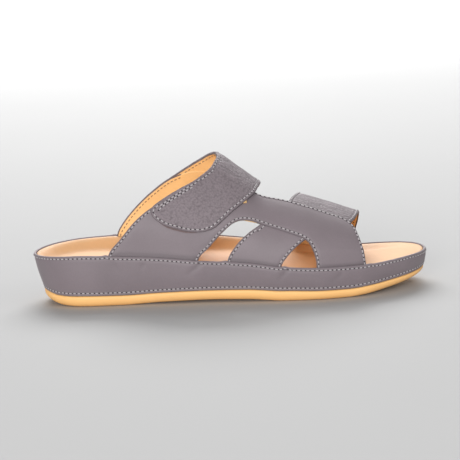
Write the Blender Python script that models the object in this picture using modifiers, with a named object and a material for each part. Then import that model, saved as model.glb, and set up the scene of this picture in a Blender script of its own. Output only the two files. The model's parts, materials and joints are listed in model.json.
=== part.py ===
"""Open slip-on sandal for the right foot, built up as a sandal maker does.

The toe points along +X, +Y is the inner (medial) side of the foot and +Z is up, in metres.
The sandal stands on z = 0 with the middle of its bounding box over the origin.

Pieces: a moulded outsole, a leather wrap round the edge of the platform, a dished footbed
inside it, the upper (two side panels and a vamp strap, joined where they cross), and an
instep strap that closes over the outer side panel.
"""

import math

import bmesh
import bpy
from mathutils import Vector

# Platform, in plan
FOOTBED_LENGTH = 0.286
BALL_WIDTH = 0.102
HEEL_ROUND = 0.036
TOE_ROUND = 0.040

# Platform, in height
RIM_HEIGHT = 0.040
OUTSOLE_THICKNESS = 0.0078
OUTSOLE_EDGE_ROUND = 0.0062
OUTSOLE_EDGE_SHARE = 0.80
HEEL_SPRING = 0.0030
ARCH_LIFT = 0.0018
TOE_SPRING = 0.0085

# Wrapped wall: how far the rim stands out over the seam, and how far the wall swells between
WALL_OVERHANG = 0.0035
WALL_SWELL = 0.0007
WRAP_THICKNESS = 0.0018

# Footbed
FOOTBED_EDGE_DROP = 0.0012
FOOTBED_DISH = 0.0062
FOOTBED_MARGIN = 0.016
ARCH_SHARE = 0.35

# Upper
INSTEP_HEIGHT = 0.0965
LAST_FULLNESS = 2.15
STRAP_THICKNESS = 0.0022
SEWN_BITE = 0.0009
STRAP_TUCK = 0.0080

# Room between pieces that meet, and how far a cutter runs past what it cuts
GAP = 0.0003
STRAP_GAP = 0.0006
SLOT_END_ROOM = 0.0009
OVERRUN = 0.0040

# Shares of the girth: a leg's stretch below the rim, and the stretch above the rim in which a
# panel rises to lie over the vamp strap
LEG_GIRTH = 0.05
RISE_GIRTH = 0.10

# Fineness of the lofts, and the step that slopes are measured over
SOLE_STATIONS = 40
CROSS_STEPS = 8
EDGE_STEPS = 4
WALL_STEPS = 4
DISH_STEPS = 5
STRAP_STEPS = 2
STRAP_CROSS_STEPS = 6
TINY = 1e-4
SHARP_ANGLE = math.radians(35)

# One row for each section of the platform. along is a share of FOOTBED_LENGTH; centre and half
# are shares of BALL_WIDTH; lean is a share of WALL_OVERHANG; the rims are shares of RIM_HEIGHT;
# dish is a share of FOOTBED_DISH; thick is a share of OUTSOLE_THICKNESS; heel, arch and toe are
# shares of HEEL_SPRING, ARCH_LIFT and TOE_SPRING. half is empty at the two ends, where
# HEEL_ROUND and TOE_ROUND give the curve.
SECTION_COLUMNS = (
    "along", "centre", "half", "lean", "rim_lateral", "rim_medial",
    "dish", "thick", "heel", "arch", "toe",
)
SECTIONS = (
    (0.00, 0.000, None, 1.85, 0.915, 0.915, 1.00, 1.00, 1.00, 0.00, 0.00),
    (0.05, 0.000, 0.278, 1.60, 0.940, 0.945, 1.00, 1.00, 0.24, 0.00, 0.00),
    (0.12, 0.000, 0.348, 1.10, 0.957, 0.980, 1.00, 1.05, 0.00, 0.00, 0.00),
    (0.22, -0.004, 0.358, 1.00, 0.920, 1.000, 0.95, 1.00, 0.00, 0.00, 0.00),
    (0.32, -0.016, 0.360, 1.00, 0.868, 0.985, 0.90, 0.97, 0.00, 0.65, 0.00),
    (0.42, -0.030, 0.373, 1.00, 0.790, 0.945, 0.80, 0.96, 0.00, 1.00, 0.00),
    (0.53, -0.034, 0.412, 1.00, 0.735, 0.840, 0.70, 1.00, 0.00, 0.80, 0.00),
    (0.62, -0.022, 0.463, 1.00, 0.645, 0.715, 0.62, 1.00, 0.00, 0.00, 0.00),
    (0.72, 0.000, 0.500, 1.00, 0.605, 0.590, 0.55, 0.88, 0.00, 0.00, 0.00),
    (0.78, 0.016, 0.492, 0.95, 0.598, 0.545, 0.50, 0.87, 0.00, 0.00, 0.00),
    (0.84, 0.032, 0.466, 0.90, 0.600, 0.545, 0.45, 0.86, 0.00, 0.00, 0.14),
    (0.90, 0.052, 0.394, 0.80, 0.616, 0.572, 0.40, 0.80, 0.00, 0.00, 0.40),
    (0.95, 0.064, 0.298, 0.70, 0.632, 0.604, 0.35, 0.70, 0.00, 0.00, 0.66),
    (1.00, 0.072, None, 0.63, 0.635, 0.635, 0.30, 0.56, 0.00, 0.00, 1.00),
)

# One row for each section of the last above the rim. crown is the height of its ridge over the
# ground, as a share of INSTEP_HEIGHT; ridge is how far the ridge lies towards the inner side of
# the centre line, as a share of BALL_WIDTH.
LAST_COLUMNS = ("along", "crown", "ridge")
LAST = (
    (0.15, 1.06, 0.02),
    (0.38, 1.05, 0.03),
    (0.46, 1.01, 0.04),
    (0.52, 0.885, 0.04),
    (0.58, 0.76, 0.04),
    (0.67, 0.70, 0.05),
    (0.75, 0.62, 0.05),
    (0.83, 0.53, 0.05),
    (0.92, 0.45, 0.05),
)

# Each strap and panel is a ribbon on the last, with one row for each fold or turn of its two
# edges. A place on the last is its share of FOOTBED_LENGTH and its share of the girth, which is
# 0 at the outer rim, 0.5 on the ridge and 1 at the inner rim. An end at the rim gets a leg.
RIBBON_COLUMNS = ("rear_along", "rear_girth", "front_along", "front_girth")
LATERAL_PANEL = (
    (0.192, 0.000, 0.413, 0.000),
    (0.223, 0.050, 0.440, 0.037),
    (0.262, 0.112, 0.463, 0.072),
    (0.303, 0.160, 0.483, 0.105),
    (0.360, 0.210, 0.502, 0.137),
    (0.425, 0.265, 0.518, 0.157),
    (0.480, 0.320, 0.535, 0.169),
    (0.525, 0.350, 0.555, 0.178),
    (0.570, 0.365, 0.580, 0.179),
    (0.620, 0.366, 0.615, 0.168),
    (0.670, 0.345, 0.645, 0.152),
    (0.730, 0.327, 0.668, 0.139),
    (0.775, 0.312, 0.682, 0.123),
    (0.800, 0.270, 0.690, 0.100),
    (0.812, 0.190, 0.697, 0.065),
    (0.822, 0.095, 0.701, 0.030),
    (0.829, 0.000, 0.702, 0.000),
)
VAMP_STRAP = (
    (0.483, 0.000, 0.615, 0.000),
    (0.505, 0.053, 0.630, 0.042),
    (0.528, 0.098, 0.650, 0.085),
    (0.552, 0.147, 0.677, 0.134),
    (0.578, 0.205, 0.712, 0.185),
    (0.606, 0.270, 0.752, 0.240),
    (0.637, 0.340, 0.793, 0.295),
    (0.655, 0.425, 0.815, 0.385),
    (0.669, 0.500, 0.828, 0.490),
    (0.677, 0.590, 0.837, 0.600),
    (0.680, 0.690, 0.842, 0.700),
    (0.677, 0.790, 0.842, 0.800),
    (0.667, 0.890, 0.837, 0.895),
    (0.657, 1.000, 0.829, 1.000),
)
MEDIAL_PANEL = (
    (0.209, 1.000, 0.413, 1.000),
    (0.226, 0.960, 0.425, 0.970),
    (0.258, 0.907, 0.442, 0.935),
    (0.305, 0.837, 0.462, 0.900),
    (0.360, 0.768, 0.482, 0.868),
    (0.430, 0.722, 0.510, 0.842),
    (0.500, 0.730, 0.550, 0.832),
    (0.570, 0.740, 0.600, 0.838),
    (0.640, 0.750, 0.655, 0.850),
    (0.700, 0.758, 0.705, 0.864),
    (0.725, 0.778, 0.728, 0.854),
)
INSTEP_STRAP = (
    (0.322, 0.815, 0.455, 0.850),
    (0.345, 0.785, 0.480, 0.800),
    (0.375, 0.745, 0.510, 0.740),
    (0.408, 0.692, 0.540, 0.670),
    (0.438, 0.634, 0.560, 0.600),
    (0.457, 0.570, 0.570, 0.540),
    (0.465, 0.500, 0.572, 0.480),
    (0.464, 0.420, 0.560, 0.388),
    (0.450, 0.341, 0.549, 0.318),
    (0.414, 0.273, 0.526, 0.240),
    (0.376, 0.234, 0.500, 0.180),
    (0.338, 0.197, 0.478, 0.135),
    (0.306, 0.160, 0.455, 0.102),
    (0.306, 0.128, 0.425, 0.086),
    (0.330, 0.103, 0.395, 0.084),
    (0.352, 0.093, 0.375, 0.087),
)


def column(rows, columns, name):
    """Places along the sandal and values of one column, without its empty rows."""
    index = columns.index(name)
    filled = [row for row in rows if row[index] is not None]
    return [row[0] for row in filled], [row[index] for row in filled]


def level_slopes(places, values):
    """Slopes for a smooth curve that never overshoots the values on either side."""
    steps = [
        (values[i + 1] - values[i]) / (places[i + 1] - places[i])
        for i in range(len(places) - 1)
    ]
    slopes = [steps[0]]
    for before, after in zip(steps, steps[1:]):
        turning = before * after <= 0
        slopes.append(0.0 if turning else 2 * before * after / (before + after))
    return slopes + [steps[-1]]


def round_slopes(places, values):
    """Slopes for a smooth curve that runs round through each value."""
    last = len(places) - 1
    slopes = []
    for i in range(last + 1):
        before, after = max(i - 1, 0), min(i + 1, last)
        slopes.append((values[after] - values[before]) / (places[after] - places[before]))
    return slopes


def curve_value(places, values, slopes, place):
    """Value at a place on the curve through the values with these slopes."""
    place = min(max(place, places[0]), places[-1])
    i = max(k for k in range(len(places) - 1) if places[k] <= place)
    span = places[i + 1] - places[i]
    t = (place - places[i]) / span
    return (
        values[i] * (1 + 2 * t) * (1 - t) ** 2
        + values[i + 1] * t * t * (3 - 2 * t)
        + span * slopes[i] * t * (1 - t) ** 2
        - span * slopes[i + 1] * t * t * (1 - t)
    )


def level_curve(places, values):
    slopes = level_slopes(places, values)
    return lambda place: curve_value(places, values, slopes, place)


def round_curve(values):
    places = list(range(len(values)))
    slopes = round_slopes(places, values)
    return lambda place: curve_value(places, values, slopes, place)


def half_width_curve():
    """Half width over the sine of the turn, which stays finite at the round ends."""
    places, shares = column(SECTIONS, SECTION_COLUMNS, "half")
    values = [
        BALL_WIDTH * share / (2 * math.sqrt(place * (1 - place)))
        for place, share in zip(places, shares)
    ]
    heel = math.sqrt(HEEL_ROUND * FOOTBED_LENGTH / 2)
    toe = math.sqrt(TOE_ROUND * FOOTBED_LENGTH / 2)
    return level_curve([0.0] + places + [1.0], [heel] + values + [toe])


SECTION = {
    name: level_curve(*column(SECTIONS, SECTION_COLUMNS, name))
    for name in SECTION_COLUMNS[1:] if name != "half"
}
HALF_WIDTH = half_width_curve()
TURNS = [station / (2 * SOLE_STATIONS) for station in range(2 * SOLE_STATIONS)]
CROWN = level_curve(*column(LAST, LAST_COLUMNS, "crown"))
RIDGE = level_curve(*column(LAST, LAST_COLUMNS, "ridge"))


def mix(start, end, share):
    return start + (end - start) * share


def ease(share):
    """Smooth step from 0 to 1."""
    share = min(max(share, 0.0), 1.0)
    return share * share * (3 - 2 * share)


# A turn goes once round the platform: 0 at the heel, along the outer side to 0.5 at the toe,
# and back along the inner side to 1.

def along_of(turn):
    return (1 - math.cos(2 * math.pi * turn)) / 2


def turn_of(along, lateral):
    turn = math.acos(1 - 2 * along) / (2 * math.pi)
    return turn if lateral else 1 - turn


def rim_reach(turn):
    """How far the rim lies towards the inner side of the section table's own line."""
    along = along_of(turn)
    return BALL_WIDTH * SECTION["centre"](along) - math.sin(2 * math.pi * turn) * HALF_WIDTH(along)


MIDDLE = (max(rim_reach(turn) for turn in TURNS) + min(rim_reach(turn) for turn in TURNS)) / 2


def rim_outline(turn):
    """Rim of the wrap seen from above."""
    return Vector((FOOTBED_LENGTH * (along_of(turn) - 0.5), rim_reach(turn) - MIDDLE))


def inset_outline(turn, inset):
    """Rim outline moved inwards, square to itself."""
    tangent = (rim_outline(turn + TINY) - rim_outline(turn - TINY)).normalized()
    return rim_outline(turn) + Vector((-tangent.y, tangent.x)) * inset


def ground_height(along):
    return (
        HEEL_SPRING * SECTION["heel"](along)
        + ARCH_LIFT * SECTION["arch"](along)
        + TOE_SPRING * SECTION["toe"](along)
    )


def seam_height(along):
    return ground_height(along) + OUTSOLE_THICKNESS * SECTION["thick"](along)


def rim_height(turn):
    side = "rim_lateral" if turn % 1 < 0.5 else "rim_medial"
    return RIM_HEIGHT * SECTION[side](along_of(turn))


def overhang(turn):
    return WALL_OVERHANG * SECTION["lean"](along_of(turn))


def wall_point(turn, height, inset):
    """Point at a height, this far inside the outer face of the wrapped wall."""
    seam = seam_height(along_of(turn))
    share = (height - seam) / (rim_height(turn) - seam)
    swell = WALL_SWELL * math.sin(math.pi * min(max(share, 0.0), 1.0))
    flat = inset_outline(turn, inset + overhang(turn) * (1 - share) - swell)
    return Vector((flat.x, flat.y, height))


def new_object(name, mesh_data, material):
    mesh = bpy.data.meshes.new(name)
    mesh_data.to_mesh(mesh)
    mesh_data.free()
    mesh.materials.append(material)
    return bpy.data.objects.new(name, mesh)


def join_rings(mesh_data, lower, upper):
    count = len(lower)
    for i in range(count):
        j = (i + 1) % count
        mesh_data.faces.new((lower[i], lower[j], upper[j], upper[i]))


def close_ring(mesh_data, ring):
    """Close a ring of the platform with rows that run straight across it."""
    rows = [[ring[0]] * (CROSS_STEPS + 1)]
    for station in range(1, SOLE_STATIONS):
        start, end = ring[station], ring[-station]
        between = [
            mesh_data.verts.new(start.co.lerp(end.co, step / CROSS_STEPS))
            for step in range(1, CROSS_STEPS)
        ]
        rows.append([start] + between + [end])
    rows.append([ring[SOLE_STATIONS]] * (CROSS_STEPS + 1))
    for row, after in zip(rows, rows[1:]):
        for step in range(CROSS_STEPS):
            corners = (row[step], row[step + 1], after[step + 1], after[step])
            mesh_data.faces.new(list(dict.fromkeys(corners)))


def loft_platform(name, rings, material, capped=True):
    """Solid through rings of points round the platform, closed across or back on itself."""
    mesh_data = bmesh.new()
    made = [[mesh_data.verts.new(point) for point in ring] for ring in rings]
    for lower, upper in zip(made, made[1:]):
        join_rings(mesh_data, lower, upper)
    if capped:
        close_ring(mesh_data, made[0])
        close_ring(mesh_data, made[-1])
    else:
        join_rings(mesh_data, made[-1], made[0])
    bmesh.ops.recalc_face_normals(mesh_data, faces=mesh_data.faces)
    thing = new_object(name, mesh_data, material)
    thing.data.shade_smooth()
    thing.data.set_sharp_from_angle(angle=SHARP_ANGLE)
    return thing


def outsole_edge_point(turn, step):
    """Point on the rounded lower edge of the outsole, from the flat underside up to the side."""
    angle = math.pi / 2 * step / EDGE_STEPS
    along = along_of(turn)
    flat = inset_outline(turn, overhang(turn) + OUTSOLE_EDGE_ROUND * (1 - math.sin(angle)))
    rise = OUTSOLE_EDGE_SHARE * (seam_height(along) - ground_height(along))
    return Vector((flat.x, flat.y, ground_height(along) + rise * (1 - math.cos(angle))))


def make_outsole(material):
    rings = [
        [outsole_edge_point(turn, step) for turn in TURNS]
        for step in range(EDGE_STEPS + 1)
    ]
    rings.append([wall_point(turn, seam_height(along_of(turn)), 0) for turn in TURNS])
    return loft_platform("outsole", rings, material)


def wall_ring(share, inset, drop):
    """Ring at a share of the way from the outsole to this far below the rim."""
    ring = []
    for turn in TURNS:
        foot = seam_height(along_of(turn)) + GAP
        ring.append(wall_point(turn, mix(foot, rim_height(turn) - drop, share), inset))
    return ring


def make_side_wrap(material):
    fold = WRAP_THICKNESS / 2
    shares = [step / WALL_STEPS for step in range(WALL_STEPS + 1)]
    rings = [wall_ring(share, 0, fold) for share in shares]
    rings.append(wall_ring(1, fold, 0))
    rings += [wall_ring(share, WRAP_THICKNESS, fold) for share in reversed(shares)]
    return loft_platform("side_wrap", rings, material, capped=False)


def footbed_floor(turn):
    """Height of the bed where the raised edge runs out into it."""
    low = min(rim_height(turn), rim_height(1 - turn))
    arch = ARCH_SHARE * (rim_height(turn) - low)
    return low + arch - FOOTBED_EDGE_DROP - FOOTBED_DISH * SECTION["dish"](along_of(turn))


def footbed_ring(share, inset):
    """Ring of the raised edge, from its brow beside the wrap down to the bed."""
    ring = []
    for turn in TURNS:
        brow = rim_height(turn) - FOOTBED_EDGE_DROP
        point = wall_point(turn, brow, inset + FOOTBED_MARGIN * share)
        point.z = mix(brow, footbed_floor(turn), ease(share))
        ring.append(point)
    return ring


def make_footbed(material):
    inset = WRAP_THICKNESS + GAP
    rings = [wall_ring(step / WALL_STEPS, inset, FOOTBED_EDGE_DROP) for step in range(WALL_STEPS)]
    rings += [footbed_ring(step / DISH_STEPS, inset) for step in range(DISH_STEPS + 1)]
    return loft_platform("footbed", rings, material)


def last_point(along, girth):
    """Point on the last. Beyond the rim it runs down into the slot behind the wrap."""
    lateral = girth < 0.5
    above_rim = girth if lateral else 1 - girth
    turn = turn_of(along, lateral)
    inset = WRAP_THICKNESS + GAP + STRAP_THICKNESS
    if above_rim < 0:
        return wall_point(turn, rim_height(turn) + STRAP_TUCK * above_rim / LEG_GIRTH, inset)
    base = wall_point(turn, rim_height(turn), inset)
    ridge = BALL_WIDTH * (SECTION["centre"](along) + RIDGE(along)) - MIDDLE
    crown = Vector((FOOTBED_LENGTH * (along - 0.5), ridge, INSTEP_HEIGHT * CROWN(along)))
    across = math.cos(math.pi * above_rim) ** (2 / LAST_FULLNESS)
    up = math.sin(math.pi * above_rim) ** (2 / LAST_FULLNESS)
    return Vector((
        mix(crown.x, base.x, across),
        mix(crown.y, base.y, across),
        mix(base.z, crown.z, up),
    ))


def last_normal(along, girth):
    """Direction straight out of the last."""
    forward = last_point(along + TINY, girth) - last_point(along - TINY, girth)
    over = last_point(along, girth + TINY) - last_point(along, girth - TINY)
    return forward.cross(over).normalized()


def vamp_lift(girth):
    """How far the inner face of the vamp strap stands off the last."""
    return 0.0


def panel_lift(girth):
    """How far the inner face of a side panel stands off the last, over the vamp strap."""
    return (STRAP_THICKNESS - SEWN_BITE) * ease(min(girth, 1 - girth) / RISE_GIRTH)


def strap_lift(girth):
    """How far the inner face of the instep strap stands off the last, over the panels."""
    return panel_lift(girth) + STRAP_THICKNESS + STRAP_GAP


def slot_lift(girth):
    """How far the inner face of a slot stands off the last: it lies just inside the leg."""
    return -GAP


def leg_row(row, depth):
    """Row of a leg straight below a row at the rim, at a depth given as a share of girth."""
    rear, girth, front = row[0], row[1], row[2]
    down = -depth if girth < 0.5 else 1 + depth
    return (rear, down, front, down)


def with_legs(rows):
    """Rows of a ribbon with a leg added at each end that lies at the rim."""
    at_rim = (0.0, 1.0)
    start = [leg_row(rows[0], LEG_GIRTH)] if rows[0][1] in at_rim else []
    end = [leg_row(rows[-1], LEG_GIRTH)] if rows[-1][1] in at_rim else []
    return start + list(rows) + end


def ribbon(name, rows, lift, thickness, material):
    """Strap of leather on the last between two edges, with its wall outwards."""
    edges = [round_curve([row[index] for row in rows]) for index in range(len(RIBBON_COLUMNS))]
    mesh_data = bmesh.new()
    outwards = {}
    grid = []
    for step in range(STRAP_STEPS * (len(rows) - 1) + 1):
        rear, rear_girth, front, front_girth = (edge(step / STRAP_STEPS) for edge in edges)
        line = []
        for cross in range(STRAP_CROSS_STEPS + 1):
            along = mix(rear, front, cross / STRAP_CROSS_STEPS)
            girth = mix(rear_girth, front_girth, cross / STRAP_CROSS_STEPS)
            out = last_normal(along, girth)
            corner = mesh_data.verts.new(last_point(along, girth) + out * lift(girth))
            outwards[corner] = out
            line.append(corner)
        grid.append(line)
    for line, after in zip(grid, grid[1:]):
        for cross in range(STRAP_CROSS_STEPS):
            corners = (line[cross], after[cross], after[cross + 1], line[cross + 1])
            face = mesh_data.faces.new(corners)
            face.normal_update()
            if face.normal.dot(outwards[corners[0]]) < 0:
                face.normal_flip()
    thing = new_object(name, mesh_data, material)
    wall = thing.modifiers.new("Wall", "SOLIDIFY")
    wall.thickness = thickness
    wall.offset = 1
    wall.use_even_offset = True
    return thing


def strap(name, rows, lift, material):
    return ribbon(name, with_legs(rows), lift, STRAP_THICKNESS, material)


def leg_slot(name, row, material):
    """Cutter for the slot behind the wrap that takes the leg below a row, with room round it."""
    room = SLOT_END_ROOM / FOOTBED_LENGTH
    wide = (min(row[0], row[2]) - room, row[1], max(row[0], row[2]) + room)
    bottom = LEG_GIRTH * (1 + GAP / STRAP_TUCK)
    rows = [leg_row(wide, depth) for depth in (bottom, bottom / 2, 0, -bottom)]
    return ribbon(name, rows, slot_lift, STRAP_THICKNESS + OVERRUN, material)


def combine(thing, other, operation):
    boolean = thing.modifiers.new(other.name, "BOOLEAN")
    boolean.operation = operation
    boolean.solver = "EXACT"
    boolean.object = other


def hide_cutter(thing, collection):
    collection.objects.link(thing)
    thing.hide_render = True
    thing.display_type = "WIRE"


def finish(name, colour, roughness):
    """Plain material of one colour, in linear light."""
    material = bpy.data.materials.new(name)
    material.use_nodes = True
    shader = material.node_tree.nodes["Principled BSDF"]
    shader.inputs["Base Color"].default_value = (*colour, 1)
    shader.inputs["Roughness"].default_value = roughness
    shader.inputs["Metallic"].default_value = 0
    return material


def new_collection(name):
    collection = bpy.data.collections.new(name)
    bpy.context.scene.collection.children.link(collection)
    return collection


def main():
    for thing in list(bpy.data.objects):
        bpy.data.objects.remove(thing, do_unlink=True)
    sandal = new_collection("sandal")
    cutters = new_collection("cutters")

    grey = finish("grey leather", (0.27, 0.23, 0.25), 0.55)
    honey = finish("honey rubber", (0.88, 0.53, 0.20), 0.60)
    tan = finish("tan leather", (0.80, 0.52, 0.26), 0.40)

    sandal.objects.link(make_outsole(honey))
    sandal.objects.link(make_side_wrap(grey))

    footbed = make_footbed(tan)
    sandal.objects.link(footbed)
    for name, row in (
        ("lateral_quarter_slot", LATERAL_PANEL[0]),
        ("lateral_band_slot", LATERAL_PANEL[-1]),
        ("lateral_vamp_slot", VAMP_STRAP[0]),
        ("medial_vamp_slot", VAMP_STRAP[-1]),
        ("medial_quarter_slot", MEDIAL_PANEL[0]),
    ):
        slot = leg_slot(name, row, tan)
        hide_cutter(slot, cutters)
        combine(footbed, slot, "DIFFERENCE")

    upper = strap("upper", LATERAL_PANEL, panel_lift, grey)
    sandal.objects.link(upper)
    for name, rows, lift in (
        ("vamp_strap", VAMP_STRAP, vamp_lift),
        ("medial_panel", MEDIAL_PANEL, panel_lift),
    ):
        piece = strap(name, rows, lift, grey)
        hide_cutter(piece, cutters)
        combine(upper, piece, "UNION")

    sandal.objects.link(strap("instep_strap", INSTEP_STRAP, strap_lift, grey))


main()
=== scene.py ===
"""Looks of an open slip-on sandal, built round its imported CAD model.

The toe points along +X, +Y is the inner side of the foot and +Z is up, in metres. Every sheet
of leather lies on the same platform and last as in the part's source, so the sizes and tables
of those come first, and the finer shapes of rims, edges, linings and seams follow from them.
"""

import json
import math

import bmesh
import bpy
import numpy as np
from bpy.props import FloatProperty, FloatVectorProperty, PointerProperty
from mathutils import Matrix, Vector
from mathutils.bvhtree import BVHTree
from mathutils.kdtree import KDTree

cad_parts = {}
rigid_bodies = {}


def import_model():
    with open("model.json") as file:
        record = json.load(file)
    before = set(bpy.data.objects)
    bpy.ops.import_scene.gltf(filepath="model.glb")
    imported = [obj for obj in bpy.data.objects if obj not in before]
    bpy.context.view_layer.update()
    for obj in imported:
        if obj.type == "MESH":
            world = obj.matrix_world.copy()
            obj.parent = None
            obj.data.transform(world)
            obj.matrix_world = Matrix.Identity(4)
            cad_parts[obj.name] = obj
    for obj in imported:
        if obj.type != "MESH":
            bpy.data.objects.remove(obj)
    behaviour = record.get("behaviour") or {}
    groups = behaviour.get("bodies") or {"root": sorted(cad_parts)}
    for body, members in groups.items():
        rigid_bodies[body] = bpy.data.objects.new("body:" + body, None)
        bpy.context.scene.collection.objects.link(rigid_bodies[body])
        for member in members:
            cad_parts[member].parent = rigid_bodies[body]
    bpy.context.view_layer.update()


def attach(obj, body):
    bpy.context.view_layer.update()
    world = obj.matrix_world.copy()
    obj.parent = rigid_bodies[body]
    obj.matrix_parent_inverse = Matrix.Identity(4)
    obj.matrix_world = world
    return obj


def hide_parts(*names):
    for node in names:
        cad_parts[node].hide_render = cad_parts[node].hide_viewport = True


bl_info = {
    "name": "Slip-on sandal",
    "version": (1, 0, 0),
    "blender": (4, 5, 0),
    "location": "3D View > Sidebar > Sandal",
    "description": "Adds the leather, rubber and stitching of an open slip-on sandal",
    "category": "Add Mesh",
}

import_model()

# Platform, as in the part's source
FOOTBED_LENGTH = 0.286
BALL_WIDTH = 0.102
HEEL_ROUND = 0.036
TOE_ROUND = 0.040
RIM_HEIGHT = 0.040
OUTSOLE_THICKNESS = 0.0078
OUTSOLE_EDGE_ROUND = 0.0062
OUTSOLE_EDGE_SHARE = 0.80
HEEL_SPRING = 0.0030
ARCH_LIFT = 0.0018
TOE_SPRING = 0.0085
WALL_OVERHANG = 0.0035
WALL_SWELL = 0.0007
WRAP_THICKNESS = 0.0018
FOOTBED_EDGE_DROP = 0.0012
FOOTBED_DISH = 0.0062
FOOTBED_MARGIN = 0.016
ARCH_SHARE = 0.35

# Upper, as in the part's source
INSTEP_HEIGHT = 0.0965
LAST_FULLNESS = 2.15
STRAP_THICKNESS = 0.0022
SEWN_BITE = 0.0009
STRAP_TUCK = 0.0080
GAP = 0.0003
STRAP_GAP = 0.0006
LEG_GIRTH = 0.05
RISE_GIRTH = 0.10
TINY = 1e-4

# How far the instep strap stands out of the inner panel, and the rows of the inner panel whose
# rear edge lies under the strap
SKIVED_STEP = 0.0004
COVERED_ROWS = (5.3, 8.2)

# Run at which the rows of stitches start on a leg, and how many times further from the edge the
# rows of the instep strap and the linings lie
LEG_ROW_START = 0.9
WIDE_ROW = 1.2

# Sections of the platform: along is a share of FOOTBED_LENGTH, and the other columns are shares
# of BALL_WIDTH (centre, half), WALL_OVERHANG, RIM_HEIGHT (both rims), FOOTBED_DISH,
# OUTSOLE_THICKNESS, HEEL_SPRING, ARCH_LIFT and TOE_SPRING.
SECTION_COLUMNS = (
    "along", "centre", "half", "lean", "rim_lateral", "rim_medial",
    "dish", "thick", "heel", "arch", "toe",
)
SECTIONS = (
    (0.00, 0.000, None, 1.85, 0.915, 0.915, 1.00, 1.00, 1.00, 0.00, 0.00),
    (0.05, 0.000, 0.278, 1.60, 0.940, 0.945, 1.00, 1.00, 0.24, 0.00, 0.00),
    (0.12, 0.000, 0.348, 1.10, 0.957, 0.980, 1.00, 1.05, 0.00, 0.00, 0.00),
    (0.22, -0.004, 0.358, 1.00, 0.920, 1.000, 0.95, 1.00, 0.00, 0.00, 0.00),
    (0.32, -0.016, 0.360, 1.00, 0.868, 0.985, 0.90, 0.97, 0.00, 0.65, 0.00),
    (0.42, -0.030, 0.373, 1.00, 0.790, 0.945, 0.80, 0.96, 0.00, 1.00, 0.00),
    (0.53, -0.034, 0.412, 1.00, 0.735, 0.840, 0.70, 1.00, 0.00, 0.80, 0.00),
    (0.62, -0.022, 0.463, 1.00, 0.645, 0.715, 0.62, 1.00, 0.00, 0.00, 0.00),
    (0.72, 0.000, 0.500, 1.00, 0.605, 0.590, 0.55, 0.88, 0.00, 0.00, 0.00),
    (0.78, 0.016, 0.492, 0.95, 0.598, 0.545, 0.50, 0.87, 0.00, 0.00, 0.00),
    (0.84, 0.032, 0.466, 0.90, 0.600, 0.545, 0.45, 0.86, 0.00, 0.00, 0.14),
    (0.90, 0.052, 0.394, 0.80, 0.616, 0.572, 0.40, 0.80, 0.00, 0.00, 0.40),
    (0.95, 0.064, 0.298, 0.70, 0.632, 0.604, 0.35, 0.70, 0.00, 0.00, 0.66),
    (1.00, 0.072, None, 0.63, 0.635, 0.635, 0.30, 0.56, 0.00, 0.00, 1.00),
)

# Sections of the last above the rim: crown is a share of INSTEP_HEIGHT, ridge of BALL_WIDTH
LAST_COLUMNS = ("along", "crown", "ridge")
LAST = (
    (0.15, 1.06, 0.02),
    (0.38, 1.05, 0.03),
    (0.46, 1.01, 0.04),
    (0.52, 0.885, 0.04),
    (0.58, 0.76, 0.04),
    (0.67, 0.70, 0.05),
    (0.75, 0.62, 0.05),
    (0.83, 0.53, 0.05),
    (0.92, 0.45, 0.05),
)

# Edges of the straps and panels on the last: rear_along, rear_girth, front_along, front_girth.
# The girth is 0 at the outer rim, 0.5 on the ridge and 1 at the inner rim.
LATERAL_PANEL = (
    (0.192, 0.000, 0.413, 0.000),
    (0.223, 0.050, 0.440, 0.037),
    (0.262, 0.112, 0.463, 0.072),
    (0.303, 0.160, 0.483, 0.105),
    (0.360, 0.210, 0.502, 0.137),
    (0.425, 0.265, 0.518, 0.157),
    (0.480, 0.320, 0.535, 0.169),
    (0.525, 0.350, 0.555, 0.178),
    (0.570, 0.365, 0.580, 0.179),
    (0.620, 0.366, 0.615, 0.168),
    (0.670, 0.345, 0.645, 0.152),
    (0.730, 0.327, 0.668, 0.139),
    (0.775, 0.312, 0.682, 0.123),
    (0.800, 0.270, 0.690, 0.100),
    (0.812, 0.190, 0.697, 0.065),
    (0.822, 0.095, 0.701, 0.030),
    (0.829, 0.000, 0.702, 0.000),
)
VAMP_STRAP = (
    (0.483, 0.000, 0.615, 0.000),
    (0.505, 0.053, 0.630, 0.042),
    (0.528, 0.098, 0.650, 0.085),
    (0.552, 0.147, 0.677, 0.134),
    (0.578, 0.205, 0.712, 0.185),
    (0.606, 0.270, 0.752, 0.240),
    (0.637, 0.340, 0.793, 0.295),
    (0.655, 0.425, 0.815, 0.385),
    (0.669, 0.500, 0.828, 0.490),
    (0.677, 0.590, 0.837, 0.600),
    (0.680, 0.690, 0.842, 0.700),
    (0.677, 0.790, 0.842, 0.800),
    (0.667, 0.890, 0.837, 0.895),
    (0.657, 1.000, 0.829, 1.000),
)
MEDIAL_PANEL = (
    (0.209, 1.000, 0.413, 1.000),
    (0.226, 0.960, 0.425, 0.970),
    (0.258, 0.907, 0.442, 0.935),
    (0.305, 0.837, 0.462, 0.900),
    (0.360, 0.768, 0.482, 0.868),
    (0.430, 0.722, 0.510, 0.842),
    (0.500, 0.730, 0.550, 0.832),
    (0.570, 0.740, 0.600, 0.838),
    (0.640, 0.750, 0.655, 0.850),
    (0.700, 0.758, 0.705, 0.864),
    (0.725, 0.778, 0.728, 0.854),
)
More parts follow.
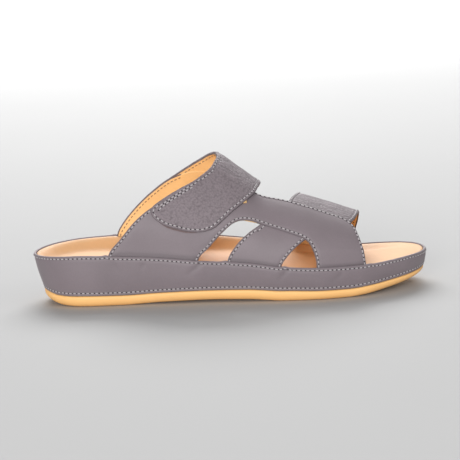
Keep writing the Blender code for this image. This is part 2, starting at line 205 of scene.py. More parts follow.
INSTEP_STRAP = (
    (0.322, 0.815, 0.455, 0.850),
    (0.345, 0.785, 0.480, 0.800),
    (0.375, 0.745, 0.510, 0.740),
    (0.408, 0.692, 0.540, 0.670),
    (0.438, 0.634, 0.560, 0.600),
    (0.457, 0.570, 0.570, 0.540),
    (0.465, 0.500, 0.572, 0.480),
    (0.464, 0.420, 0.560, 0.388),
    (0.450, 0.341, 0.549, 0.318),
    (0.414, 0.273, 0.526, 0.240),
    (0.376, 0.234, 0.500, 0.180),
    (0.338, 0.197, 0.478, 0.135),
    (0.306, 0.160, 0.455, 0.102),
    (0.306, 0.128, 0.425, 0.086),
    (0.330, 0.103, 0.395, 0.084),
    (0.352, 0.093, 0.375, 0.087),
)
FLAP_START = 9.6
FLAP_ROW_END = 12.1

# Where the folded rim of the wrap is pushed up beside a leg: place along, outer side, and share
# of the rim bump
RIM_BUMPS = (
    (0.186, True, 1.0),
    (0.479, True, 1.0),
    (0.622, True, 0.9),
    (0.836, True, 0.5),
    (0.203, False, 0.7),
    (0.651, False, 0.8),
    (0.835, False, 0.6),
)
RIM_BUMP_WIDTH = 0.0022

# Soft creases of the wrap on its outer side, from the place and height where each starts to
# where it runs out: place along and share of the wall's height, twice, then share of the depth
WALL_CREASES = (
    (0.418, 0.92, 0.384, 0.55, 1.0),
    (0.628, 0.90, 0.606, 0.50, 0.8),
    (0.275, 0.78, 0.271, 0.70, 0.6),
    (0.760, 0.70, 0.735, 0.40, 0.5),
    (0.205, 0.85, 0.222, 0.60, 0.35),
)
CREASE_WIDTH = 0.0022

# Where a lining slips out past the front edge of its strap: the run in the middle, how many runs
# it takes, and how far it slips
INSTEP_SLIP = (8.9, 0.16, 0.0016)
OUTER_SLIP = (7.4, 1.3, 0.0004)
NO_SLIP = (0.0, 1.0, 0.0)

# Fineness of the meshes
STATIONS = 260
SOLE_CROSS_STEPS = 48
FOOTBED_CROSS_STEPS = 30
FLAT_CROSS_STEPS = 4
WALL_STEPS = 14
FOLD_STEPS = 7
MARGIN_STEPS = 14
EDGE_STEPS = 9
STRAP_STEP = 0.0013
STRAP_CROSS_STEPS = 26
LINING_STEP = 0.0022
LINING_CROSS_STEPS = 18
EDGE_PLACES = np.array((
    0.0, 0.0001, 0.0003, 0.0006, 0.0010, 0.0014, 0.0018, 0.0022, 0.0026, 0.0031,
))

# Rings in a hem of the wrap, as shares of the distance to its row of stitches, then how many
# rings the wrap's outer face, its whole section and the footbed's brow have
LIP_SHARES = np.array((0.0, 0.06, 0.2, 0.4, 0.6, 0.8, 1.0, 1.2, 1.45, 2.0))
OUTER_RINGS = 2 * len(LIP_SHARES) + WALL_STEPS - 1
WRAP_RINGS = OUTER_RINGS + FOLD_STEPS + 4
BROW_RINGS = 7

# Small forms of the leather work and the footbed
GROOVE_WIDTH = 0.0005
HEM_PUFF = 0.00025
HEM_TUCK = 0.0005
EDGE_PUFF = 0.00012
FOLD_RAMP = 0.0002
LINING_LOW = 0.00015
LINING_CLEAR = 0.00005
TAPE_RISE = 0.0004
BROW_ROUND = 0.0008
BROW_RISE = 0.0006

# Stitches and needle holes: half height as a share of the thread's width or the hole's half
# width, and how much of a stitch's half height lies clear of the leather
STITCH_FLATNESS = 0.36
HOLE_FLATNESS = 0.25
STITCH_LIFT = 0.25

# Waves of the tread and the plain border round it
WAVE_REACH = 0.0022
WAVE_LENGTH = 0.018
TREAD_BORDER = 0.004
TREAD_RAMP = 0.0015

# How much painted shade darkens the leather where it runs down behind the wrap, and in a crease
SHADE = 1.5

# Lights: name, place, place aimed at, and diameter. Their powers are on the panel.
LIGHTS = (
    ("front", (-0.6, -2.1, 0.42), (0, 0, 0.05), 0.8),
    ("fill", (1.3, -0.9, 0.9), (0, 0, 0.03), 1.2),
    ("top", (0.0, 0.9, 1.5), (0, 0.1, 0), 1.0),
    ("far", (0.0, 5.0, 3.0), (0, 5.0, 0), 5.0),
)

# Side of the photo and how far its middle is off the camera's axis, in pixels
PHOTO_SIDE = 460
PHOTO_SHIFT = (-0.3, 0.5)


def sizes():
    return bpy.context.scene.sandal_sizes


def colours():
    return bpy.context.scene.sandal_colours


def mix(start, end, share):
    return start + (end - start) * share


def ease(share):
    """Smooth step from 0 to 1."""
    share = np.clip(share, 0, 1)
    return share * share * (3 - 2 * share)


def hump(distance, width):
    """1 at no distance, and next to nothing beyond two widths."""
    return np.exp(-((distance / width) ** 2))


def curve(places, values, slopes):
    """Smooth curve through the values with these slopes."""
    places, values, slopes = (np.array(row, float) for row in (places, values, slopes))

    def value(place):
        place = np.clip(place, places[0], places[-1])
        i = np.clip(np.searchsorted(places, place, side="right") - 1, 0, len(places) - 2)
        span = places[i + 1] - places[i]
        t = (place - places[i]) / span
        return (
            values[i] * (1 + 2 * t) * (1 - t) ** 2
            + values[i + 1] * t * t * (3 - 2 * t)
            + span * slopes[i] * t * (1 - t) ** 2
            - span * slopes[i + 1] * t * t * (1 - t)
        )

    return value


def level_curve(places, values):
    """Curve that never overshoots the values on either side."""
    steps = np.diff(values) / np.diff(places)
    before, after = steps[:-1], steps[1:]
    rising = before * after > 0
    total = np.where(rising, before + after, 1)
    inner = np.where(rising, 2 * before * after / total, 0)
    return curve(places, values, np.concatenate((steps[:1], inner, steps[-1:])))


def round_curve(values):
    """Curve that runs round through each value."""
    return curve(np.arange(len(values)), values, np.gradient(np.array(values, float)))


def column(rows, columns, name):
    index = columns.index(name)
    filled = [row for row in rows if row[index] is not None]
    return np.array([row[0] for row in filled]), np.array([row[index] for row in filled])


def half_width_curve():
    """Half width over the sine of the turn, which stays finite at the round ends."""
    places, shares = column(SECTIONS, SECTION_COLUMNS, "half")
    values = BALL_WIDTH * shares / (2 * np.sqrt(places * (1 - places)))
    heel = math.sqrt(HEEL_ROUND * FOOTBED_LENGTH / 2)
    toe = math.sqrt(TOE_ROUND * FOOTBED_LENGTH / 2)
    return level_curve(np.concatenate(([0], places, [1])), np.concatenate(([heel], values, [toe])))


SECTION = {
    name: level_curve(*column(SECTIONS, SECTION_COLUMNS, name))
    for name in SECTION_COLUMNS[1:] if name != "half"
}
HALF_WIDTH = half_width_curve()
CROWN = level_curve(*column(LAST, LAST_COLUMNS, "crown"))
RIDGE = level_curve(*column(LAST, LAST_COLUMNS, "ridge"))


# A turn goes once round the platform: 0 at the heel, along the outer side to 0.5 at the toe,
# and back along the inner side to 1.

def along_of(turn):
    return (1 - np.cos(2 * np.pi * turn)) / 2


def turn_of(along, lateral):
    turn = np.arccos(np.clip(1 - 2 * along, -1, 1)) / (2 * np.pi)
    return np.where(lateral, turn, 1 - turn)


def rim_reach(turn):
    along = along_of(turn)
    return BALL_WIDTH * SECTION["centre"](along) - np.sin(2 * np.pi * turn) * HALF_WIDTH(along)


def middle_line():
    reach = rim_reach(np.arange(80) / 80)
    return (reach.max() + reach.min()) / 2


MIDDLE = middle_line()


def rim_outline(turn):
    return np.column_stack((FOOTBED_LENGTH * (along_of(turn) - 0.5), rim_reach(turn) - MIDDLE))


def inset_outline(turn, inset):
    """Rim outline moved inwards, square to itself."""
    tangent = rim_outline(turn + TINY) - rim_outline(turn - TINY)
    tangent /= np.linalg.norm(tangent, axis=1)[:, None]
    inwards = np.column_stack((-tangent[:, 1], tangent[:, 0]))
    return rim_outline(turn) + inwards * inset[:, None]


def ground_height(along):
    return (
        HEEL_SPRING * SECTION["heel"](along)
        + ARCH_LIFT * SECTION["arch"](along)
        + TOE_SPRING * SECTION["toe"](along)
    )


def seam_height(along):
    return ground_height(along) + OUTSOLE_THICKNESS * SECTION["thick"](along)


def rim_height(turn):
    along = along_of(turn)
    sides = SECTION["rim_lateral"](along), SECTION["rim_medial"](along)
    return RIM_HEIGHT * np.where(turn % 1 < 0.5, *sides)


def overhang(turn):
    return WALL_OVERHANG * SECTION["lean"](along_of(turn))


def wall_point(turn, height, inset):
    """Points at a height, this far inside the outer face of the wrapped wall."""
    turn, height, inset = np.broadcast_arrays(turn, height, inset)
    seam = seam_height(along_of(turn))
    share = (height - seam) / (rim_height(turn) - seam)
    swell = WALL_SWELL * np.sin(np.pi * np.clip(share, 0, 1))
    flat = inset_outline(turn, inset + overhang(turn) * (1 - share) - swell)
    return np.column_stack((flat, height))


def last_point(along, girth):
    """Points on the last, which runs down behind the wrap beyond the rim."""
    lateral = girth < 0.5
    above_rim = np.where(lateral, girth, 1 - girth)
    turn = turn_of(along, lateral)
    tuck = STRAP_TUCK * np.minimum(above_rim, 0) / LEG_GIRTH
    base = wall_point(turn, rim_height(turn) + tuck, WRAP_THICKNESS + GAP + STRAP_THICKNESS)
    ridge = BALL_WIDTH * (SECTION["centre"](along) + RIDGE(along)) - MIDDLE
    angle = np.pi * np.maximum(above_rim, 0)
    across = np.cos(angle) ** (2 / LAST_FULLNESS)
    up = np.sin(angle) ** (2 / LAST_FULLNESS)
    return np.column_stack((
        mix(FOOTBED_LENGTH * (along - 0.5), base[:, 0], across),
        mix(ridge, base[:, 1], across),
        mix(base[:, 2], INSTEP_HEIGHT * CROWN(along), up),
    ))


def last_normal(along, girth):
    forward = last_point(along + TINY, girth) - last_point(along - TINY, girth)
    over = last_point(along, girth + TINY) - last_point(along, girth - TINY)
    out = np.cross(forward, over)
    return out / np.linalg.norm(out, axis=1)[:, None]


def vamp_lift(girth):
    return np.zeros_like(girth)


def panel_lift(girth):
    return (STRAP_THICKNESS - SEWN_BITE) * ease(np.minimum(girth, 1 - girth) / RISE_GIRTH)


def strap_lift(girth):
    """The instep strap lies over the outer panel, and is skived down into the inner panel."""
    over = panel_lift(girth) + STRAP_THICKNESS + STRAP_GAP
    return mix(over, panel_lift(girth) + SKIVED_STEP, ease((girth - 0.60) / 0.12))


def leg_row(row):
    down = -LEG_GIRTH if row[1] < 0.5 else 1 + LEG_GIRTH
    return (row[0], down, row[2], down)


def travelled(points):
    """Length along a line of points, up to each of them."""
    return np.concatenate(([0], np.cumsum(np.linalg.norm(np.diff(points, axis=0), axis=1))))


class Strap:
    """Strap or panel on the last between its rear and its front edge. A run counts its rows from
    one end to the other, and a cross goes from 0 at the rear edge to 1 at the front edge."""

    def __init__(self, rows, lift):
        self.free = [row[1] not in (0.0, 1.0) for row in (rows[0], rows[-1])]
        start = [] if self.free[0] else [leg_row(rows[0])]
        end = [] if self.free[1] else [leg_row(rows[-1])]
        rows = start + list(rows) + end
        self.first, self.last = 0.0, len(rows) - 1.0
        self.edges = [round_curve(values) for values in zip(*rows)]
        self.lift = lift

    def spot(self, run, cross):
        """Place along the sandal and girth."""
        rear, rear_girth, front, front_girth = (edge(run) for edge in self.edges)
        return mix(rear, front, cross), mix(rear_girth, front_girth, cross)

    def point(self, run, cross, height):
        """Points this high over the inner face of the strap."""
        along, girth = self.spot(*np.broadcast_arrays(run, cross))
        rise = self.lift(girth) + height
        return last_point(along, girth) + last_normal(along, girth) * rise[:, None]

    def width(self, run):
        lines = [self.point(run, cross, 0) for cross in np.linspace(0, 1, 13)]
        return sum(np.linalg.norm(b - a, axis=1) for a, b in zip(lines, lines[1:]))

    def runs(self, step, places, start, end):
        """Rows an even step apart, and at the close places beside an end that is free."""
        fine = np.linspace(start, end, 800)
        lengths = np.mean([travelled(self.point(fine, cross, 0)) for cross in (0, 0.5, 1)], axis=0)
        low = places if self.free[0] and start == self.first else places[:1]
        high = places if self.free[1] and end == self.last else places[:1]
        total = lengths[-1]
        steps = max(int((total - low[-1] - high[-1]) / step), 2)
        inner = np.linspace(low[-1], total - high[-1], steps + 1)[1:-1]
        return np.interp(np.concatenate((low, inner, total - high[::-1])), lengths, fine)

    def crosses(self, runs, places, steps):
        """For each run, places across at set distances from both edges and even steps between."""
        width = self.width(runs)[:, None]
        near = places[None, :] * np.minimum(1, 0.4 * width / places[-1])
        inner = np.linspace(0, 1, steps + 1)[None, 1:-1]
        inner = mix(near[:, -1:], width - near[:, -1:], inner)
        return np.hstack((near, inner, width - near[:, ::-1])) / width

    def borders(self, start, end, height):
        """Lines round the edges that show: points, and the directions into the leather."""
        fine = np.linspace(start, end, 900)
        across = np.linspace(0, 1, 90)
        lines = [(fine, np.zeros_like(fine), 0, 1), (fine, np.ones_like(fine), 0, -1)]
        if self.free[0] and start == self.first:
            lines.append((np.full_like(across, start), across, 1, 0))
        if self.free[1] and end == self.last:
            lines.append((np.full_like(across, end), across, -1, 0))
        found = []
        for run, cross, run_in, cross_in in lines:
            points = self.point(run, cross, height)
            inside = self.point(run + 0.02 * run_in, cross + 0.02 * cross_in, height) - points
            tangent = np.gradient(points, axis=0)
            tangent /= np.linalg.norm(tangent, axis=1)[:, None]
            inside -= tangent * np.sum(inside * tangent, axis=1)[:, None]
            inside /= np.linalg.norm(inside, axis=1)[:, None]
            found.append((points, inside))
        return found


OUTER_PANEL = Strap(LATERAL_PANEL, panel_lift)
VAMP = Strap(VAMP_STRAP, vamp_lift)
INNER_PANEL = Strap(MEDIAL_PANEL, panel_lift)
INSTEP = Strap(INSTEP_STRAP, strap_lift)


class Socket:
    """Output of a shader node, so that maths on it reads as maths."""

    def __init__(self, finish, output):
        self.finish = finish
        self.output = output

    def maths(self, operation, first, second):
        return self.finish.node("ShaderNodeMath", {"operation": operation}, {0: first, 1: second})

    def __add__(self, other):
        return self.maths("ADD", self, other)

    def __radd__(self, other):
        return self.maths("ADD", other, self)

    def __sub__(self, other):
        return self.maths("SUBTRACT", self, other)

    def __rsub__(self, other):
        return self.maths("SUBTRACT", other, self)

    def __mul__(self, other):
        return self.maths("MULTIPLY", self, other)

    def __rmul__(self, other):
        return self.maths("MULTIPLY", other, self)

    def __pow__(self, other):
        return self.maths("POWER", self, other)


class Finish:
    """Material whose nodes are added as its expressions are read."""

    def __init__(self, name):
        self.material = bpy.data.materials.new(name)
        self.material.use_nodes = True
        self.tree = self.material.node_tree
        self.shader = self.tree.nodes["Principled BSDF"]

    def feed(self, entry, value):
        if isinstance(value, Socket):
            self.tree.links.new(value.output, entry)
        else:
            entry.default_value = value

    def node(self, kind, settings, sockets, out=0):
        made = self.tree.nodes.new(kind)
        for name, value in settings.items():
            setattr(made, name, value)
        for key, value in sockets.items():
            self.feed(made.inputs[key], value)
        return Socket(self, made.outputs[out])

    def place(self):
        return self.node("ShaderNodeTexCoord", {}, {}, "Object")

    def attribute(self, name):
        return self.node("ShaderNodeAttribute", {"attribute_name": name}, {}, "Fac")

    def turned(self, vector, rotation, stretch):
        """Coordinates in which a pattern comes out stretched, then rotated."""
        sockets = {"Vector": vector, "Rotation": rotation, "Scale": stretch}
        return self.node("ShaderNodeMapping", {"vector_type": "TEXTURE"}, sockets)

    def noise(self, vector, scale, detail):
        sockets = {"Vector": vector, "Scale": scale, "Detail": detail, "Roughness": 0.55}
        return self.node("ShaderNodeTexNoise", {}, sockets)

    def cells(self, vector, scale):
        sockets = {"Vector": vector, "Scale": scale, "Smoothness": 0.15}
        return self.node("ShaderNodeTexVoronoi", {"feature": "SMOOTH_F1"}, sockets)

    def blend(self, factor, colour, dark, light):
        """The colour times dark where the factor is 0, and times light where it is 1."""
        sockets = {"Factor": factor, 6: shade_of(colour, dark), 7: shade_of(colour, light)}
        return self.node("ShaderNodeMix", {"data_type": "RGBA", "clamp_factor": True}, sockets, 2)

    def relief(self, height):
        """Normal of a relief whose height is in metres."""
        return self.node("ShaderNodeBump", {}, {"Height": height, "Distance": 1.0, "Strength": 1.0})

    def done(self, sockets):
        for key, value in sockets.items():
            self.feed(self.shader.inputs[key], value)
        return self.material


def shade_of(colour, light):
    """The colour made lighter or darker, as a socket takes it."""
    return (*(min(part * light, 1.0) for part in colour), 1)


def leather_finish():
    """Grey leather: smooth where pebble is 0, grained where it is 1, creased where crease is 1."""
    colour = colours().leather
    finish = Finish("grey leather")
    place = finish.place()
    edge = finish.attribute("edge")
    pebble = finish.attribute("pebble")
    crease = finish.attribute("crease")
    cloud = finish.noise(place, 38.0, 3.0)
    speckle = finish.noise(place, 900.0, 2.0)
    pores = finish.cells(place, 1700.0)
    grain = finish.cells(place, 700.0)
    along_ridge = finish.turned(place, (0.0, 0.42, 0.0), (7.0, 1.0, 1.0))
    lines = finish.noise(along_ridge, 560.0, 1.0)
    dome = 1 - grain ** 2.0
    # edge darkens edges and the wrap's foot, and is painted shade behind the rim and in wrap
    # creases
    tone = cloud * 0.5 + speckle * 0.25 - pebble * (0.66 - dome * 0.85) - edge * 0.5
    tone = tone + crease * (lines - 0.5) * 2.4
    body = finish.blend(tone, colour, 0.74, 1.22)
    height = (
        cloud * 0.00035
        - pores * 0.000022
        + pebble * (dome * 0.00042 + speckle * 0.00012)
        + crease * lines * 0.0016
    )
    return finish.done({
        "Base Color": body,
        "Roughness": 0.50 + pebble * 0.10 + speckle * 0.08,
        "Normal": finish.relief(height),
        "Specular IOR Level": 0.38,
        "Sheen Weight": 0.08,
        "Sheen Roughness": 0.45,
    })


def footbed_finish():
    """Smooth tan leather, polished by the foot."""
    colour = colours().footbed
    finish = Finish("tan leather")
    place = finish.place()
    edge = finish.attribute("edge")
    cloud = finish.noise(place, 26.0, 4.0)
    pores = finish.cells(place, 1500.0)
    wrinkle = finish.noise(finish.turned(place, (0.0, 0.0, 0.3), (1.0, 4.0, 1.0)), 320.0, 3.0)
    tone = cloud * 0.7 + wrinkle * 0.3 - edge * 0.4
    body = finish.blend(tone, colour, 0.82, 1.12)
    height = cloud * 0.00050 + wrinkle * 0.00009 - pores * 0.000016
    return finish.done({
        "Base Color": body,
        "Roughness": 0.48 + cloud * 0.14,
        "Normal": finish.relief(height),
        "Specular IOR Level": 0.25,
        "Coat Weight": 0.05,
        "Coat Roughness": 0.25,
    })


def lining_finish():
    """Orange-tan lining leather with a fine hair grain."""
    colour = colours().lining
    finish = Finish("lining leather")
    place = finish.place()
    cloud = finish.noise(place, 60.0, 3.0)
    hair = finish.noise(finish.turned(place, (0.0, 0.5, 0.0), (3.3, 1.0, 1.0)), 900.0, 3.0)
    body = finish.blend(cloud * 0.6 + hair * 0.5, colour, 0.78, 1.12)
    return finish.done({
        "Base Color": body,
        "Roughness": 0.55 + hair * 0.1,
        "Normal": finish.relief(cloud * 0.0003 + hair * 0.00012),
    })


def rubber_finish():
    """Matt honey-coloured rubber, a little mottled, as it comes from the mould."""
    colour = colours().rubber
    finish = Finish("honey rubber")
    place = finish.place()
    cloud = finish.noise(place, 30.0, 4.0)
    pits = finish.noise(place, 1300.0, 2.0)
    body = finish.blend(cloud * 0.6 + pits * 0.35, colour, 0.88, 1.08)
    return finish.done({
        "Base Color": body,
        "Roughness": 0.50 + pits * 0.12,
        "Normal": finish.relief(pits * 0.00004 + cloud * 0.0002),
        "Specular IOR Level": 0.35,
    })


def thread_finish(name, colour):
    """Twisted sewing thread."""
    finish = Finish(name)
    place = finish.place()
    strands = finish.noise(finish.turned(place, (0.5, 0.5, 0.5), (2.9, 1.0, 1.0)), 3500.0, 1.0)
    body = finish.blend(strands, colour, 0.80, 1.15)
    return finish.done({
        "Base Color": body,
        "Roughness": 0.55 + strands * 0.1,
        "Normal": finish.relief(strands * 0.00006),
        "Sheen Weight": 0.2,
    })


def needle_hole_shade_finish():
    """Painted shade of a needle hole, on a flat dark disc where the thread goes in."""
    colour = colours().needle_hole
    finish = Finish("needle hole")
    speck = finish.noise(finish.place(), 2000.0, 1.0)
    body = finish.blend(speck, colour, 0.7, 1.3)
    return finish.done({"Base Color": body, "Roughness": 0.8 + speck * 0.1})


def tape_finish():
    """Looped pile of the fastening tape under the flap."""
    colour = colours().tape
    finish = Finish("loop tape")
    loops = finish.noise(finish.place(), 1400.0, 2.0)
    body = finish.blend(loops, colour, 0.6, 1.3)
    return finish.done({
        "Base Color": body,
        "Roughness": 0.85 + loops * 0.1,
        "Normal": finish.relief(loops * 0.0004),
    })


def floor_finish():
    """Plain pale matt floor."""
    colour = bpy.context.scene.sandal_stage.floor_colour
    finish = Finish("floor")
    cloud = finish.noise(finish.place(), 3.0, 2.0)
    body = finish.blend(cloud, colour, 0.985, 1.015)
    return finish.done({"Base Color": body, "Roughness": 0.85})


def add_grid(mesh_data, place, rows, columns):
    """Grid with rows and columns counted by their lines. place gives the points for arrays of
    row and column numbers."""
    made = bmesh.ops.create_grid(
        mesh_data, x_segments=rows - 1, y_segments=columns - 1, size=0.5,
    )["verts"]
    flat = np.array([vert.co[:2] for vert in made]) + 0.5
    row = np.rint(flat[:, 0] * (rows - 1)).astype(int)
    col = np.rint(flat[:, 1] * (columns - 1)).astype(int)
    for vert, point in zip(made, place(row, col)):
        vert.co = point
    return made, row, col


def new_mesh_data(*names):
    """Empty mesh whose vertices keep a number under each of these names."""
    mesh_data = bmesh.new()
    for name in names:
        mesh_data.verts.layers.float.new(name)
    return mesh_data


def set_values(mesh_data, verts, **values):
    """Keep a number for each vertex under a name that the finishes read."""
    for name, numbers in values.items():
        layer = mesh_data.verts.layers.float[name]
        for vert, number in zip(verts, np.broadcast_to(numbers, len(verts))):
            vert[layer] = number


def close_seams(mesh_data):
    """Join the lines of a grid that meet, drop what they leave without area, and turn the
    faces outwards."""
    bmesh.ops.remove_doubles(mesh_data, verts=mesh_data.verts, dist=2e-6)
    bmesh.ops.dissolve_degenerate(mesh_data, edges=mesh_data.edges, dist=1e-6)
    bmesh.ops.recalc_face_normals(mesh_data, faces=mesh_data.faces)


def add_object(name, mesh_data, material):
    mesh = bpy.data.meshes.new(name)
    mesh_data.to_mesh(mesh)
    mesh_data.free()
    mesh.materials.append(material)
    made = bpy.data.objects.new(name, mesh)
    bpy.context.scene.collection.objects.link(made)
    return made


def add_piece(name, mesh_data, material, nodes=()):
    piece = add_object(name, mesh_data, material)
    piece.data.shade_smooth()
    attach(piece, "root")
    if nodes:
        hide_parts(*nodes)
    return piece


def material_of(name, build):
    """The material of that name, made the first time it is asked for."""
    return bpy.data.materials.get(name) or build()


def ring_turns(stations):
    return np.arange(2 * stations + 1) / (2 * stations)


def across_platform(ring_point, ring, row, col, steps):
    """Points on straight lines from the outer to the inner side of a ring."""
    turn = row / (2 * STATIONS)
    outer, inner = (ring_point(side, np.full_like(side, ring)) for side in (turn, 1 - turn))
    return mix(outer, inner, (col / steps)[:, None])


def add_across(mesh_data, ring_point, ring, steps):
    """Close a ring with a grid of straight lines from side to side."""
    add_grid(
        mesh_data, lambda row, col: across_platform(ring_point, ring, row, col, steps),
        STATIONS + 1, steps + 1,
    )


def outsole_point(turn, step):
    """Rounded lower edge of the outsole up to step EDGE_STEPS, then its side up to the seam."""
    along = along_of(turn)
    angle = np.pi / 2 * np.minimum(step / EDGE_STEPS, 1)
    low = ground_height(along)
    rise = OUTSOLE_EDGE_SHARE * (seam_height(along) - low)
    side = np.clip(step - EDGE_STEPS, 0, None)
    inset = overhang(turn) + OUTSOLE_EDGE_ROUND * (1 - np.sin(angle))
    inset = inset + np.interp(side, (0, 1, 2, 3), (0, 0.00005, 0.00025, 0.0007))
    height = low + rise * (1 - np.cos(angle))
    height = height + (seam_height(along) - low - rise) * np.interp(side, (0, 3), (0, 1))
    return np.column_stack((inset_outline(turn, inset), height))


def tread_rise(points, room):
    """Depth of the wavy grooves under the sole, with room to its edge."""
    size = sizes()
    wave = points[:, 0] + WAVE_REACH * np.sin(points[:, 1] * 2 * np.pi / WAVE_LENGTH)
    groove = ease((np.sin(wave * 2 * np.pi / size.tread_pitch) - 0.25) / 0.4)
    return size.tread_depth * groove * ease((room - TREAD_BORDER) / TREAD_RAMP)


def distance_to(lines, points):
    """Distance from each point to the nearest point of the lines."""
    tree = KDTree(sum(len(line) for line in lines))
    for i, point in enumerate(np.vstack(lines)):
        tree.insert(point, i)
    tree.balance()
    return np.array([tree.find(point)[2] for point in points])


def make_outsole():
    mesh_data = bmesh.new()
    rings = EDGE_STEPS + 4
    turns = ring_turns(STATIONS)
    add_grid(mesh_data, lambda row, col: outsole_point(turns[row], col), len(turns), rings)

    def underside(row, col):
        points = across_platform(outsole_point, 0, row, col, SOLE_CROSS_STEPS)
        border = outsole_point(turns, np.zeros_like(turns))
        points[:, 2] += tread_rise(points, distance_to([border], points))
        return points

    add_grid(mesh_data, underside, STATIONS + 1, SOLE_CROSS_STEPS + 1)
    add_across(mesh_data, outsole_point, rings - 1, FLAT_CROSS_STEPS)
    close_seams(mesh_data)
    rubber = material_of("honey rubber", rubber_finish)
    return add_piece("outsole_moulding", mesh_data, rubber, ["outsole"])


def rim_bump(turn):
    """How far the folded rim is pushed up beside the legs of the upper."""
    outline = rim_outline(turn)
    total = np.zeros_like(turn)
    for along, lateral, share in RIM_BUMPS:
        spot = rim_outline(turn_of(np.array([along]), lateral))
        away = np.linalg.norm(outline - spot, axis=1)
        total += share * hump(away, RIM_BUMP_WIDTH)
    return sizes().rim_bump * total


def wall_crease(points):
    """Depth of the soft creases at points on the outer side of the wrap."""
    depth = np.zeros(len(points))
    for along, share, to_along, to_share, deep in WALL_CREASES:
        ends = []
        for place, part in ((along, share), (to_along, to_share)):
            turn = turn_of(np.array([place]), True)
            seam = seam_height(along_of(turn))
            ends.append(wall_point(turn, mix(seam, rim_height(turn), part), 0)[0])
        line = ends[1] - ends[0]
        reach = np.clip((points - ends[0]) @ line / (line @ line), 0, 1)
        away = np.linalg.norm(points - ends[0] - reach[:, None] * line, axis=1)
        fade = 1 - 0.7 * reach
        depth += deep * fade * (hump(away, CREASE_WIDTH) - 0.5 * hump(away, 2 * CREASE_WIDTH))
    return sizes().crease_depth * depth


def wrap_profile(turn, col):
    """Height and inset of the wrap's section: up its outer face, over the folded rim, down its
    inner face and back under."""
    size = sizes()
    fold = WRAP_THICKNESS / 2
    foot = seam_height(along_of(turn)) + GAP
    top = rim_height(turn) + rim_bump(turn) - fold
    low, high = foot + size.seam_stitch_rise * 2, top - size.rim_stitch_drop * 2
    lines = [(foot + rise, 0) for rise in size.seam_stitch_rise * LIP_SHARES]
    lines += [(mix(low, high, step / WALL_STEPS), 0) for step in range(1, WALL_STEPS)]
    lines += [(top - drop, 0) for drop in size.rim_stitch_drop * LIP_SHARES[::-1]]
    for step in range(1, FOLD_STEPS + 1):
        angle = math.pi * step / FOLD_STEPS
        lines.append((top + fold * math.sin(angle), fold * (1 - math.cos(angle))))
    lines += [(mix(low, high, 0.5), WRAP_THICKNESS), (foot, WRAP_THICKNESS), (foot, 0.0004)]
    lines.append(lines[0])
    heights = np.stack([height for height, inset in lines])
    insets = np.array([inset for height, inset in lines])
    return heights[col, np.arange(len(turn))], insets[col]


def wrap_point(turn, col):
    """Points of the wrap with its puffed hems, stitch grooves and creases."""
    size = sizes()
    height, inset = wrap_profile(turn, col)
    foot = seam_height(along_of(turn)) + GAP
    top = rim_height(turn) + rim_bump(turn) - WRAP_THICKNESS / 2
    over, under = top - height, height - foot
    points = wall_point(turn, height, inset)
    outer = (col < OUTER_RINGS) & (turn % 1 < 0.5)
    press = size.groove_depth * (
        hump(over - size.rim_stitch_drop, GROOVE_WIDTH)
        + hump(under - size.seam_stitch_rise, GROOVE_WIDTH)
    )
    puff = HEM_PUFF * (
        hump(over - 0.3 * size.rim_stitch_drop, 0.0009)
        + hump(under - 0.5 * size.seam_stitch_rise, 0.0006)
    )
    tuck = HEM_TUCK * (1 - ease(under / 0.0004))
    shift = press - puff + tuck + np.where(outer, wall_crease(points), 0)
    face = inset < 1e-6
    return np.where(face[:, None], wall_point(turn, height, inset + shift), points)


def make_wrap():
    mesh_data = new_mesh_data("edge", "pebble", "crease")
    turns = ring_turns(2 * STATIONS)
    made, row, col = add_grid(
        mesh_data, lambda row, col: wrap_point(turns[row], col), len(turns), WRAP_RINGS,
    )
    height, inset = wrap_profile(turns[row], col)
    foot = seam_height(along_of(turns[row])) + GAP
    outer = (inset < 1e-6) & (turns[row] < 0.5)
    # Painted shade in the wrap's creases, taken into edge, which also darkens the wrap at its foot
    crease = np.where(outer, wall_crease(wall_point(turns[row], height, 0)), 0)
    crease = SHADE * np.clip(crease / sizes().crease_depth, 0, 1)
    edge = np.maximum(1 - ease((height - foot) / 0.0010), crease)
    set_values(mesh_data, made, edge=edge, pebble=0.0, crease=0.0)
    close_seams(mesh_data)
    leather = material_of("grey leather", leather_finish)
    return add_piece("platform_wrap", mesh_data, leather, ["side_wrap"])


def footbed_floor(turn):
    low = np.minimum(rim_height(turn), rim_height(1 - turn))
    arch = ARCH_SHARE * (rim_height(turn) - low)
    return low + arch - FOOTBED_EDGE_DROP - FOOTBED_DISH * SECTION["dish"](along_of(turn))


def leg_room(turn):
    """How far the footbed stands back behind the legs of the upper."""
    along, lateral = along_of(turn), turn % 1 < 0.5
    room = np.zeros_like(turn)
    for rows, ends in ((LATERAL_PANEL, (0, -1)), (VAMP_STRAP, (0, -1)), (MEDIAL_PANEL, (0,))):
        for end in ends:
            rear, girth, front, _ = rows[end]
            low, high = min(rear, front), max(rear, front)
            depth = np.minimum(along - low, high - along) * FOOTBED_LENGTH
            here = lateral == (girth < 0.5)
            room = np.maximum(room, np.where(here, ease((depth + 0.0012) / 0.0010), 0))
    return (STRAP_THICKNESS + GAP) * room


def footbed_point(turn, col):
    """Rings of the footbed: up its side, over its rounded brow and down the raised edge."""
    start = WRAP_THICKNESS + GAP + leg_room(turn)
    brow = rim_height(turn) - FOOTBED_EDGE_DROP + BROW_RISE
    foot = seam_height(along_of(turn)) + GAP
    share = np.clip((col - BROW_RINGS) / MARGIN_STEPS, 0, 1)
    angle = np.pi / 2 * np.clip((col - 1) / (BROW_RINGS - 1), 0, 1)
    height = np.where(col == 0, foot, brow - BROW_ROUND * (1 - np.sin(angle)))
    inset = start + BROW_ROUND * (1 - np.cos(angle)) + (FOOTBED_MARGIN - 0.003) * share
    points = wall_point(turn, np.where(col == 0, foot, brow), inset)
    points[:, 2] = mix(height, footbed_floor(turn), ease(share))
    return points


